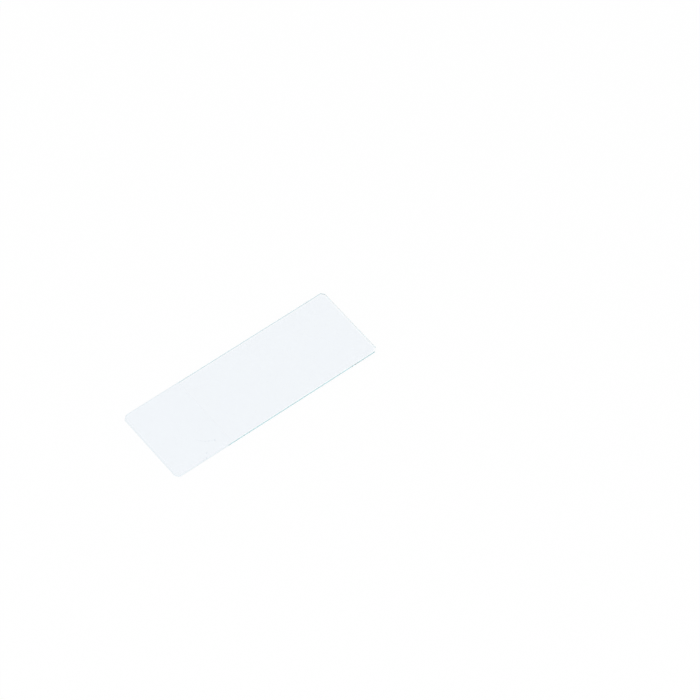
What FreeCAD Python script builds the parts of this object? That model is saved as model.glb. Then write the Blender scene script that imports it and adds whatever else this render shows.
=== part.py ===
import FreeCAD, Part
import Sketcher
import os

# A plain microscope slide: one flat plate of clear glass with its four corners clipped,
# a narrow bevel ground round both rims, and one sandblasted end to write on in pencil.
# X runs along the plate from the frosted end to the clear end, Y runs across it, Z is up.
# The origin is the middle of the underside, which lies on z = 0.

# Driving dimensions in millimetres, each with what it measures.
DRIVING_SIZES = [
    ("slide_length", 76.0, "end to end"),
    ("slide_width", 26.0, "across the plate"),
    ("glass_thickness", 1.0, "underside to top face"),
    ("corner_clip", 1.1, "leg of the 45 degree cut at each corner"),
    ("rim_bevel", 0.22, "leg of the 45 degree bevel ground round both rims"),
    ("frosted_length", 20.5, "frosted end to the edge of the frosting"),
    ("frosting_depth", 0.02, "glass that the sandblasting takes off the top face"),
]
COINCIDENCE = 1e-6

document = FreeCAD.newDocument("microscope_slide")


def make_sheet():
    sheet = document.addObject("Spreadsheet::Sheet", "sizes")
    for row, (alias, value, meaning) in enumerate(DRIVING_SIZES, start=1):
        sheet.set(f"A{row}", meaning)
        sheet.set(f"B{row}", str(value))
        sheet.setAlias(f"B{row}", alias)
    document.recompute()
    return sheet


# A rectangle in the body's ground plane. Its near left corner lies at minus left, minus
# front, and all four sizes are expressions that read the sheet.
def make_rectangle(body, name, left, front, length, width):
    sketch = body.newObject("Sketcher::SketchObject", name)
    ground_plane = next(p for p in body.Origin.OriginFeatures if p.Role == "XY_Plane")
    sketch.AttachmentSupport = (ground_plane, "")
    sketch.MapMode = "FlatFace"

    front_side, right_side, back_side, left_side = range(4)
    start, end, origin = 1, 2, -1
    corners = [FreeCAD.Vector(x, y) for x, y in ((-1, -1), (1, -1), (1, 1), (-1, 1))]
    for side, corner in enumerate(corners):
        next_corner = corners[(side + 1) % 4]
        sketch.addGeometry(Part.LineSegment(corner, next_corner))
    for side in range(4):
        next_side = (side + 1) % 4
        sketch.addConstraint(Sketcher.Constraint("Coincident", side, end, next_side, start))
    for side in (front_side, back_side):
        sketch.addConstraint(Sketcher.Constraint("Horizontal", side))
    for side in (right_side, left_side):
        sketch.addConstraint(Sketcher.Constraint("Vertical", side))

    datums = [
        ("left", "DistanceX", (front_side, start, origin, start), left),
        ("front", "DistanceY", (front_side, start, origin, start), front),
        ("length", "DistanceX", (front_side, start, front_side, end), length),
        ("width", "DistanceY", (right_side, start, right_side, end), width),
    ]
    for label, kind, between, expression in datums:
        index = sketch.addConstraint(Sketcher.Constraint(kind, *between, 1.0))
        sketch.renameConstraint(index, label)
        sketch.setExpression(f"Constraints.{label}", expression)
    document.recompute()
    return sketch


def edge_names(shape, is_wanted):
    return [f"Edge{i}" for i, edge in enumerate(shape.Edges, start=1) if is_wanted(edge)]


def is_upright(edge):
    foot, head = (vertex.Point for vertex in edge.Vertexes)
    return abs(head.x - foot.x) < COINCIDENCE and abs(head.y - foot.y) < COINCIDENCE


# The rims are the outlines of the underside and of the top face: every edge that lies flat.
def is_on_rim(edge):
    foot, head = (vertex.Point for vertex in edge.Vertexes)
    return abs(head.z - foot.z) < COINCIDENCE


def add_chamfer(body, name, base, is_wanted, size):
    chamfer = body.newObject("PartDesign::Chamfer", name)
    chamfer.Base = (base, edge_names(base.Shape, is_wanted))
    chamfer.setExpression("Size", size)
    document.recompute()
    return chamfer


def make_glass_slide():
    body = document.addObject("PartDesign::Body", "glass_slide")
    body.Label = "glass_slide"
    body.Placement = FreeCAD.Placement()

    outline = make_rectangle(
        body,
        "outline",
        left="sizes.slide_length / 2",
        front="sizes.slide_width / 2",
        length="sizes.slide_length",
        width="sizes.slide_width",
    )
    plate = body.newObject("PartDesign::Pad", "plate")
    plate.Profile = outline
    plate.setExpression("Length", "sizes.glass_thickness")
    document.recompute()

    clips = add_chamfer(body, "corner_clips", plate, is_upright, "sizes.corner_clip")
    ground_rims = add_chamfer(body, "ground_rims", clips, is_on_rim, "sizes.rim_bevel")

    # Sandblasting lowers the whole width of one end by a few hundredths of a millimetre.
    frosted_area = make_rectangle(
        body,
        "frosted_area",
        left="sizes.slide_length / 2",
        front="sizes.slide_width / 2",
        length="sizes.frosted_length",
        width="sizes.slide_width",
    )
    frosted_area.setExpression("AttachmentOffset.Base.z", "sizes.glass_thickness")
    frosting = body.newObject("PartDesign::Pocket", "frosting")
    frosting.Profile = frosted_area
    frosting.setExpression("Length", "sizes.frosting_depth")
    document.recompute()
    if frosting.Shape.Volume >= ground_rims.Shape.Volume:
        raise RuntimeError("the frosting takes no glass off the top face")
    return body


def check_document():
    for item in document.Objects:
        if {"Invalid", "Error"} & set(item.State):
            raise RuntimeError(f"{item.Label} failed: {item.State}")


def check_solid(sub_part):
    shape = sub_part.Shape
    if shape.isNull() or not shape.isValid() or len(shape.Solids) != 1:
        raise RuntimeError(f"{sub_part.Label} is not one valid solid")


make_sheet()
sub_parts = [make_glass_slide()]
document.recompute()
check_document()
for sub_part in sub_parts:
    check_solid(sub_part)

os.makedirs("parts", exist_ok=True)
for sub_part in sub_parts:
    sub_part.Shape.exportStep(f"parts/{sub_part.Label}.step")
    box = sub_part.Shape.BoundBox
    print(f"{sub_part.Label}: {box.XLength:.2f} x {box.YLength:.2f} x {box.ZLength:.2f} mm,")
    print(f"  {sub_part.Shape.Volume:.1f} cubic mm, {len(sub_part.Shape.Faces)} faces")
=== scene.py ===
import math

import bmesh
import bpy
from mathutils import Matrix, Vector


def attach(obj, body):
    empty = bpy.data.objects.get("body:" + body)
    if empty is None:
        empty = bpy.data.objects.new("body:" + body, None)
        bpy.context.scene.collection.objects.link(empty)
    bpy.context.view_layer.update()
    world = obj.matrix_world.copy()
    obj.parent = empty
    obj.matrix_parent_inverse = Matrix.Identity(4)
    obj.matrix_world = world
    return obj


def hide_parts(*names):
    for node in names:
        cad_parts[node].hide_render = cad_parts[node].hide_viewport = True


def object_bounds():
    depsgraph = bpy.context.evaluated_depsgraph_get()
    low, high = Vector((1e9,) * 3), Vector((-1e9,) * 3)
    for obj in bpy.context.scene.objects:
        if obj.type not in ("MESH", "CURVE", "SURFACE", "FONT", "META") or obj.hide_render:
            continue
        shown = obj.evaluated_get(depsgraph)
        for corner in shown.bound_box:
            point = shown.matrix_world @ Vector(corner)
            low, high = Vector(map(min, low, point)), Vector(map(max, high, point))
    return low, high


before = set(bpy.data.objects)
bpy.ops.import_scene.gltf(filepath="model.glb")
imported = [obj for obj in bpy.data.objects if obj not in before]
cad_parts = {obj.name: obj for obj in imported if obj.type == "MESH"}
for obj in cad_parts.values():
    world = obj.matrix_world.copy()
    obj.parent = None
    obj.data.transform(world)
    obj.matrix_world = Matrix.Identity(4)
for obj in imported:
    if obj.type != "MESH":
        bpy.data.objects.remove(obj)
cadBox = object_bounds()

low, high = cadBox
length, width, thickness = high - low
middle = (low + high) / 2


class Wire:  # a node's socket in a shader sum: + - * / on it add the Math nodes
    def __init__(self, tree, socket):
        self.tree = tree
        self.socket = socket

    def __add__(self, other):
        return self.tree.maths("ADD", self, other)

    def __radd__(self, other):
        return self.tree.maths("ADD", other, self)

    def __sub__(self, other):
        return self.tree.maths("SUBTRACT", self, other)

    def __rsub__(self, other):
        return self.tree.maths("SUBTRACT", other, self)

    def __mul__(self, other):
        return self.tree.maths("MULTIPLY", self, other)

    def __rmul__(self, other):
        return self.tree.maths("MULTIPLY", other, self)

    def __truediv__(self, other):
        return self.tree.maths("DIVIDE", self, other)


class ShaderTree:
    def __init__(self, owner):
        owner.use_nodes = True
        self.tree = owner.node_tree
        self.tree.nodes.clear()

    # a node of any type: its settings first, then the values or wires of its sockets
    def node(self, kind, settings=None, values=None, out=0):
        made = self.tree.nodes.new(kind)
        for name, setting in (settings or {}).items():
            setattr(made, name, setting)
        for key, value in (values or {}).items():
            if isinstance(value, Wire):
                self.tree.links.new(value.socket, made.inputs[key])
            else:
                made.inputs[key].default_value = value
        return Wire(self, made.outputs[out]) if len(made.outputs) else made

    def maths(self, operation, *values):
        return self.node("ShaderNodeMath", {"operation": operation}, dict(enumerate(values)))

    # 0 below one value, 1 above the other, smooth in between
    def ramp(self, value, start, end):
        return self.node("ShaderNodeMapRange", {"interpolation_type": "SMOOTHSTEP"},
                         {"Value": value, "From Min": start, "From Max": end})

    def blend(self, fraction, first, second):
        return self.node("ShaderNodeMix", {"data_type": "RGBA"}, {0: fraction, 6: first, 7: second}, 2)

    def noise(self, place, size, detail):
        return self.node("ShaderNodeTexNoise", None, {
            "Vector": place, "Scale": 1 / size, "Detail": detail})

    def coordinates(self):
        place = self.node("ShaderNodeTexCoord", out=3)
        parts = self.node("ShaderNodeSeparateXYZ", None, {0: place}).socket.node.outputs
        return [place] + [Wire(self, part) for part in parts]


camera = {
    "lens": 200,
    "azimuth": -46.72,  # degrees, from looking along +Y
    "elevation": 55.64,
    "roll": 8.76,
    "distance": 1.1497,
    "aside": (0.02917, 0.00991),  # how far right of and above the plate's middle it aims
    "nearClip": 0.01,
}


def placeCamera():
    azimuth, elevation = math.radians(camera["azimuth"]), math.radians(camera["elevation"])
    back = Vector((math.sin(azimuth) * math.cos(elevation), -math.cos(azimuth) * math.cos(elevation),
                   math.sin(elevation)))
    level = back.to_track_quat("Z", "Y").to_matrix()
    turned = level @ Matrix.Rotation(math.radians(camera["roll"]), 3, "Z")
    aside = turned @ Vector((*camera["aside"], 0))
    bpy.ops.object.camera_add()
    eye = bpy.context.object
    eye.data.lens = camera["lens"]
    eye.matrix_world = Matrix.Translation(middle + back * camera["distance"] + aside) @ turned.to_4x4()
    eye.data.clip_start = camera["nearClip"]
    bpy.context.scene.camera = eye
    print("camera in place")


# light that enters an edge is mirrored dozens of times inside the plate before it leaves
innerReflections = {
    "max_bounces": 48,
    "glossy_bounces": 48,
    "transmission_bounces": 48,
    "blur_glossy": 0,
}


def followInnerReflections():
    for setting, value in innerReflections.items():
        setattr(bpy.context.scene.cycles, setting, value)


plate = {
    "cornerClip": 0.0011,
    "rimBevel": 0.00022,
    "arris": 0.00003,  # how far the ground edges are softened
    "frostedLength": 0.0205,
    "frostingDepth": 0.00002,
    "frostingFade": 0.0003,  # over what length the blasting runs out
    "sharpAngle": 0.5,  # radians; edges that turn more than this are softened
    "cutterMargin": 0.001,
    "tolerance": 1e-7,
}


def chooseEdges(mesh, wanted):
    mesh.select_mode = {"EDGE"}
    for edge in mesh.edges:
        edge.select = wanted(edge)
    mesh.select_flush_mode()
    bmesh.update_edit_mesh(bpy.context.edit_object.data)


def isUpright(edge):
    foot, head = (corner.co for corner in edge.verts)
    return (head - foot).xy.length < plate["tolerance"]


def isOnRim(edge):
    foot, head = (corner.co for corner in edge.verts)
    toFace = min(abs(foot.z - low.z), abs(foot.z - high.z))
    return max(abs(head.z - foot.z), toFace) < plate["tolerance"]


def isArris(edge):
    return len(edge.link_faces) == 2 and edge.calc_face_angle() > plate["sharpAngle"]


def addBlock(name, lowCorner, highCorner):
    bpy.ops.object.select_all(action="DESELECT")
    bpy.ops.mesh.primitive_cube_add(size=1, location=(lowCorner + highCorner) / 2)
    block = bpy.context.object
    block.name = name
    block.dimensions = highCorner - lowCorner
    bpy.ops.object.transform_apply(location=True, rotation=True, scale=True)
    return block


def modelPlate():
    slide = addBlock("slidePlate", low, high)
    bpy.ops.object.mode_set(mode="EDIT")
    mesh = bmesh.from_edit_mesh(slide.data)
    chooseEdges(mesh, isUpright)
    bpy.ops.mesh.bevel(offset=plate["cornerClip"], segments=1, clamp_overlap=False)
    chooseEdges(mesh, isOnRim)
    bpy.ops.mesh.bevel(offset=plate["rimBevel"], segments=1, clamp_overlap=False)
    chooseEdges(mesh, isArris)
    bpy.ops.mesh.bevel(offset=plate["arris"], segments=2, clamp_overlap=False)
    bpy.ops.object.mode_set(mode="OBJECT")

    # sandblasting takes a thin layer off one end of the top face, and runs out on a slope
    depth, fade, margin = plate["frostingDepth"], plate["frostingFade"], plate["cutterMargin"]
    blastedEnd = low.x + plate["frostedLength"] - fade / 2
    blasted = addBlock("blastedLayer", Vector((low.x - margin, low.y - margin, high.z - depth)),
                       Vector((blastedEnd, high.y + margin, high.z + depth)))
    for corner in blasted.data.vertices:  # the cutter's upper far corners lean out to make the slope
        if corner.co.x > low.x and corner.co.z > high.z:
            corner.co.x += 2 * fade
    bpy.context.view_layer.objects.active = slide
    cut = slide.modifiers.new("frosting", "BOOLEAN")
    cut.object = blasted
    cut.solver = "EXACT"
    bpy.ops.object.modifier_apply(modifier=cut.name)
    bpy.ops.object.select_all(action="DESELECT")
    blasted.select_set(True)
    bpy.ops.object.delete()
    print("plate modelled", len(slide.data.polygons), "faces")
    return slide


# how each surface is finished, with strips of painted light and shade among them: its tint, its
# roughness, its share of white haze and how grainy it is
finishesAndPaintedLight = {
    "face": ((0.916, 0.933, 0.965, 1), 0.01, 0, 0),
    # painted highlight: a lighter strip on the top face beside the top bevel
    "highlightLip": ((1, 0.975, 1, 1), 0.01, 0, 0),
    # painted light: a white band on the underside beside the lower bevel
    "litUnderStrip": ((1, 1, 1, 1), 0.01, 0, 0),
    "frosting": ((0.912, 0.93, 0.963, 1), 0.4, 0.3, 1),
    # painted light: the frosting is tinted lighter in a strip along the long sides
    "litBlastedStrip": ((0.935, 0.951, 0.975, 1), 0.4, 0.3, 1),
    # painted shade: a faint darker line where the frosting runs out
    "frostingEdgeShade": ((0.886, 0.909, 0.941, 1), 0.3, 0.05, 0.5),
    # ground bevel: its roughness and grain are the real finish, its lighter tint is a painted
    # highlight
    "bevel": ((0.95, 0.98, 0.985, 1), 0.2, 0, 0.6),
    "blastedBevel": ((0.97, 0.97, 0.98, 1), 0.5, 1, 0.3),
    # painted shade: a dark teal tint on the lower bevel along the long sides
    "shadedUnderBevel": ((0.42, 0.57, 0.66, 1), 0.2, 0, 0.6),
    "wall": ((0.85, 0.95, 0.955, 1), 0.01, 0, 0),
    # painted light: the foot of each wall is tinted white and hazed, lighter than the teal wall above
    "litWallFoot": ((1, 1, 1, 1), 0.01, 0.45, 0),
    "blastedWall": ((1, 1, 1, 1), 0.1, 1, 0),
    "marks": ((0.2, 0.3, 0.42, 1), 0.5, 0, 1),
}

glass = {
    "ior": 1.52,
    "depthColour": (0.1, 0.63, 0.683, 1),  # what the glass turns light into through its depth
    "depthDensity": 30,
    "frostHaze": (0.888, 0.922, 0.956, 1),
    "bevelHaze": (0.855, 0.896, 0.928, 1),
    "wallHaze": (0.862, 0.915, 0.952, 1),
    # how far each strip reaches, from the outline unless it says otherwise
    "wallReach": 0.00003,
    "highlightLipWidth": 0.00005,  # from the top bevel; width of the painted highlight strip
    "litUnderStripWidth": 0.0003,  # from the lower bevel; width of the painted light band on the underside
    "litBlastedStripWidth": 0.0005,  # from the top bevel; width of the painted light strip on the frosting
    # width of the painted shade on the lower bevel
    "underShadeWidth": 0.00014,
    "blastedWallLength": 0.019,  # from the frosted end
    "litWallFootHeight": 0.0006,  # from the underside; height of the painted lighter band at the wall's foot
    "topFrom": 0.7,  # share of the thickness where the upper finishes begin
    "topTo": 0.75,
    # over what distance each finish fades into the next
    "wallFade": 0.00002,
    "rimFade": 0.00004,
    # fade of the painted light strips beside the top and lower bevels
    "litStripFade": 0.0001,
    "litBlastedStripFade": 0.0003,
    "underShadeFade": 0.00002,
    "blastedWallFade": 0.0002,
    "litWallFootFade": 0.0003,
    "grainSize": 0.00006,
    "grainDetail": 2,
    "grainDepth": 0.000002,
    "grainContrast": 0.5,  # how much the grain changes the roughness
    "markCore": 0.2,  # a mark is whole up to here and gone at its edge, in squared half-widths
    "markEdge": 1.2,
}

# scratches, specks and chips at the frosted end
marks = [
    # from the frosted end, from the near side, length, width, turn in degrees, strength
    (0.01242, 0.00690, 0.0009, 0.00045, -52, 0.11),
    (0.01284, 0.00638, 0.0008, 0.0004, -50, 0.1),
    (0.01328, 0.00588, 0.0008, 0.00045, -48, 0.17),
    (0.01376, 0.00538, 0.0008, 0.0004, -42, 0.12),
    (0.01425, 0.00492, 0.0007, 0.00045, -35, 0.25),
    (0.01512, 0.00442, 0.0008, 0.00045, -20, 0.3),
    (0.01592, 0.00400, 0.0011, 0.0004, -22, 0.12),
    (0.01672, 0.00363, 0.0008, 0.0006, 75, 0.35),
    (0.01208, 0.00150, 0.0010, 0.0005, 25, 0.3),
    (0.01092, 0.00017, 0.0007, 0.0004, 0, 0.55),
    (0.0095, 0.00013, 0.0024, 0.0003, 0, 0.35),
]


# an oval spot, 1 at its middle and 0 outside
def spot(tree, x, y, mark):
    alongX, alongY, spotLength, spotWidth, turn, strength = mark
    across, up = math.cos(math.radians(turn)), math.sin(math.radians(turn))
    fromX, fromY = x - (low.x + alongX), y - (low.y + alongY)
    long = (fromX * across + fromY * up) * (2 / spotLength)
    wide = (fromY * across - fromX * up) * (2 / spotWidth)
    fading = tree.ramp(long * long + wide * wide, glass["markCore"], glass["markEdge"])
    return (1 - fading) * strength


def glassMaterial():
    material = bpy.data.materials.new("slideGlass")
    tree = ShaderTree(material)
    place, x, y, z = tree.coordinates()
    acrossX = tree.maths("ABSOLUTE", x - middle.x)
    acrossY = tree.maths("ABSOLUTE", y - middle.y)
    toEnd = length / 2 - acrossX
    toSide = width / 2 - acrossY
    toClip = (length / 2 + width / 2 - plate["cornerClip"] - acrossX - acrossY) / math.sqrt(2)
    inwards = tree.maths("MINIMUM", tree.maths("MINIMUM", toEnd, toSide), toClip)
    fromFrosted = x - low.x
    fromEdge = tree.maths("ABSOLUTE", fromFrosted - plate["frostedLength"])

    # 1 up to a limit, and 0 past it
    def within(value, limit, fade):
        return 1 - tree.ramp(value, limit - fade, limit)

    bevel, litStripFade, frostingFade = plate["rimBevel"], glass["litStripFade"], plate["frostingFade"]
    wall = within(inwards, glass["wallReach"], glass["wallFade"])
    rim = within(inwards, bevel, glass["rimFade"])
    onTop = tree.ramp(z, thickness * glass["topFrom"], thickness * glass["topTo"])
    blasted = within(fromFrosted, plate["frostedLength"] + frostingFade / 2, frostingFade)
    wallBlasted = within(fromFrosted, glass["blastedWallLength"], glass["blastedWallFade"])
    # mask of the painted highlight strip beside the top bevel
    highlightLip = within(inwards, bevel + glass["highlightLipWidth"] + litStripFade, litStripFade)
    # mask of the painted light band on the underside
    litUnderStrip = within(inwards, bevel + glass["litUnderStripWidth"] + litStripFade, litStripFade)
    # mask of the painted light strip along the frosted long sides
    litBlastedStrip = within(toSide, bevel + glass["litBlastedStripWidth"], glass["litBlastedStripFade"])
    # mask of the painted shade on the lower bevel along the long sides
    underShade = within(toSide, glass["underShadeWidth"], glass["underShadeFade"])
    # mask of the painted lighter band at the wall's foot
    litWallFoot = within(z, low.z + glass["litWallFootHeight"], glass["litWallFootFade"])
    worn = 0
    for mark in marks:
        worn = tree.maths("MAXIMUM", worn, spot(tree, x, y, mark))

    # each layer covers the ones above it in this list
    layers = [
        # painted highlight beside the top bevel
        (highlightLip * onTop, "highlightLip"),
        # painted light band on the underside beside the lower bevel
        (litUnderStrip * (1 - onTop) * (1 - blasted), "litUnderStrip"),
        (blasted * onTop, "frosting"),
        # painted light strip along the frosted long sides
        (litBlastedStrip * blasted * onTop, "litBlastedStrip"),
        # painted shade line at the frosting's boundary
        (within(fromEdge, frostingFade, frostingFade) * onTop, "frostingEdgeShade"),
        # ground top bevel, tinted lighter as a painted highlight
        (rim * onTop, "bevel"),
        (rim * onTop * blasted, "blastedBevel"),
        # painted shade on the lower bevel along the long sides
        (underShade * (1 - onTop) * (1 - blasted), "shadedUnderBevel"),
        (wall, "wall"),
        # painted light at the foot of the walls
        (wall * litWallFoot, "litWallFoot"),
        (wall * wallBlasted, "blastedWall"),
        (worn * onTop, "marks"),
    ]
    tint, roughness, haze, grainy = finishesAndPaintedLight["face"]
    for mask, name in layers:
        layerTint, layerRoughness, layerHaze, layerGrain = finishesAndPaintedLight[name]
        tint = tree.blend(mask, tint, layerTint)
        roughness = roughness * (1 - mask) + mask * layerRoughness
        haze = haze * (1 - mask) + mask * layerHaze
        grainy = grainy * (1 - mask) + mask * layerGrain
    grain = (tree.noise(place, glass["grainSize"], glass["grainDetail"]) - 0.5) * grainy
    pitted = tree.node("ShaderNodeBump", None, {
        "Strength": 1, "Distance": glass["grainDepth"], "Height": grain})

    clear = tree.node("ShaderNodeBsdfPrincipled", None, {
        "Base Color": tint, "Transmission Weight": 1, "IOR": glass["ior"],
        "Roughness": roughness * (1 + grain * glass["grainContrast"]), "Normal": pitted})
    rimColour = tree.blend(rim, glass["frostHaze"], glass["bevelHaze"])
    whiteColour = tree.blend(wall, rimColour, glass["wallHaze"])
    white = tree.node("ShaderNodeBsdfDiffuse", None, {"Color": whiteColour, "Normal": pitted})
    inside = tree.node("ShaderNodeNewGeometry", out=6)
    surface = tree.node("ShaderNodeMixShader", None, {0: haze * (1 - inside), 1: clear, 2: white})
    depth = tree.node("ShaderNodeVolumeAbsorption", None, {
        "Color": glass["depthColour"], "Density": glass["depthDensity"]})
    tree.node("ShaderNodeOutputMaterial", None, {"Surface": surface, "Volume": depth})
    return material


studio = {
    "floorColour": (0.94, 0.94, 0.94, 1),
    "ownWhite": 0.94,  # how much of the floor near the plate shows as plain white
    "allWhiteFrom": 0.15,  # how far from the plate the floor begins to fade into the backdrop
    "allWhiteTo": 0.6,
    "whiteThroughGlass": 0.97,
    "floorSize": 6,
    "floorGap": 0.00005,
    "skyStrength": 0.85,
    "lamps": [
        # place, size, power
        ((-0.35, -0.33, 1.04), 0.7, 2.6),
    ],
}


# which rays show the background itself: straight from the camera, and mirrored or through the glass
def seenDirectly(tree):
    path = tree.node("ShaderNodeLightPath").socket.node
    straight, diffuseDepth, glossy, through = [Wire(tree, path.outputs[name]) for name in (
        "Is Camera Ray", "Diffuse Depth", "Is Glossy Ray", "Is Transmission Ray")]
    fresh = 1 - tree.maths("MINIMUM", diffuseDepth, 1.0)  # 0 once the ray has met a matt surface
    return straight, tree.maths("MAXIMUM", glossy, through) * fresh


def buildStudio():
    bpy.ops.object.select_all(action="DESELECT")
    floorHeight = low.z - studio["floorGap"]
    bpy.ops.mesh.primitive_plane_add(size=studio["floorSize"], location=(0, 0, floorHeight))
    floor = bpy.context.object
    floor.name = "studioFloor"
    paper = bpy.data.materials.new("paper")
    tree = ShaderTree(paper)
    bare, viaGlass = seenDirectly(tree)
    place = tree.node("ShaderNodeTexCoord", out=3)
    away = tree.node("ShaderNodeVectorMath", {"operation": "LENGTH"}, {0: place}, 1)
    fading = tree.ramp(away, studio["allWhiteFrom"], studio["allWhiteTo"]) * (1 - studio["ownWhite"])
    share = bare * (fading + studio["ownWhite"]) + viaGlass * studio["whiteThroughGlass"]
    sheet = tree.node("ShaderNodeBsdfDiffuse", None, {"Color": studio["floorColour"]})
    white = tree.node("ShaderNodeEmission", None, {"Strength": 1})
    surface = tree.node("ShaderNodeMixShader", None, {0: share, 1: sheet, 2: white})
    tree.node("ShaderNodeOutputMaterial", None, {"Surface": surface})
    floor.data.materials.append(paper)

    world = bpy.data.worlds.new("softbox")
    bpy.context.scene.world = world
    tree = ShaderTree(world)
    bare, viaGlass = seenDirectly(tree)
    strength = studio["skyStrength"] + (bare + viaGlass) * (1 - studio["skyStrength"])
    sky = tree.node("ShaderNodeBackground", None, {"Color": (1, 1, 1, 1), "Strength": strength})
    tree.node("ShaderNodeOutputWorld", None, {"Surface": sky})

    for place, size, power in studio["lamps"]:
        bpy.ops.object.light_add(type="AREA", location=place)
        lamp = bpy.context.object
        lamp.data.shape = "SQUARE"
        lamp.data.size = size
        lamp.data.energy = power
        lamp.rotation_mode = "QUATERNION"
        lamp.rotation_quaternion = Vector(place).to_track_quat("Z", "Y")
    print("studio built")


bpy.context.scene.view_settings.view_transform = "Standard"
followInnerReflections()
placeCamera()
slide = modelPlate()
slide.data.materials.append(glassMaterial())
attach(slide, "root")
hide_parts("glass_slide")
buildStudio()
